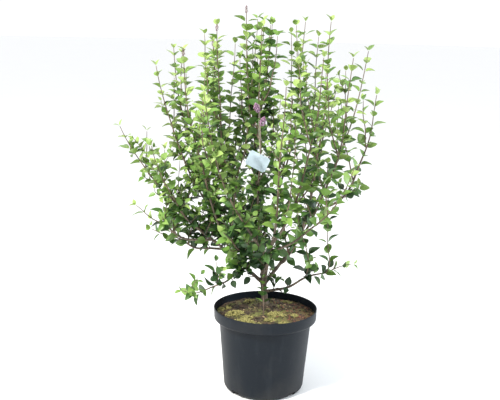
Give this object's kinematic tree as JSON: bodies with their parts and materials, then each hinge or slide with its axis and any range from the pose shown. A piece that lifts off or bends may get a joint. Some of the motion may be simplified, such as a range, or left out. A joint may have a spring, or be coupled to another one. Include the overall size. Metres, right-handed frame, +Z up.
{
  "type": "potted shrub",
  "caption": "Young upright flowering shrub with small paired leaves, many slim stems from one short trunk, in a round black plastic growing pot.",
  "frame": {"origin": "centre of the pot's flat underside", "axes": "+Z up, -Y towards the viewer of the picture, +X to the viewer's right"},
  "size_m": [0.7047, 0.621, 1.0318],
  "materials": {
    "black_plastic": "satin, a little dusty and scuffed",
    "compost": "rough crumbs of bark and peat with moss",
    "bark": "dull grey-brown young bark",
    "leaf": "soft satin leaves, yellow-green at the tips and dark inside",
    "label_plastic": "smooth pale card, blank"
  },
  "bodies": {
    "root": {"back_bough": "bark", "back_foliage": "leaf", "back_left_bough": "bark", "back_left_foliage": "leaf", "back_outer_bough": "bark", "back_outer_foliage": "leaf", "back_right_bough": "bark", "back_right_foliage": "leaf", "basal_shoot": "leaf", "compost": "compost", "front_bough": "bark", "front_foliage": "leaf", "front_left_bough": "bark", "front_left_foliage": "leaf", "front_right_bough": "bark", "front_right_foliage": "leaf", "inner_left_bough": "bark", "inner_left_foliage": "leaf", "inner_right_bough": "bark", "inner_right_foliage": "leaf", "label": "label_plastic", "leader_bough": "bark", "leader_foliage": "leaf", "leader_front_bough": "bark", "leader_front_foliage": "leaf", "left_back_bough": "bark", "left_back_foliage": "leaf", "left_bough": "bark", "left_foliage": "leaf", "left_front_bough": "bark", "left_front_foliage": "leaf", "left_inner_bough": "bark", "left_inner_foliage": "leaf", "left_limb_bough": "bark", "left_limb_foliage": "leaf", "left_lower_bough": "bark", "left_lower_foliage": "leaf", "left_outer_bough": "bark", "left_outer_foliage": "leaf", "low_back_bough": "bark", "low_back_foliage": "leaf", "low_front_left_bough": "bark", "low_front_left_foliage": "leaf", "low_front_right_bough": "bark", "low_front_right_foliage": "leaf", "low_left_bough": "bark", "low_left_foliage": "leaf", "low_right_bough": "bark", "low_right_foliage": "leaf", "pot": "black_plastic", "right_bough": "bark", "right_foliage": "leaf", "right_front_bough": "bark", "right_front_foliage": "leaf", "right_inner_bough": "bark", "right_inner_foliage": "leaf", "right_outer_bough": "bark", "right_outer_foliage": "leaf", "trunk": "bark"}
  },
  "joints": []
}
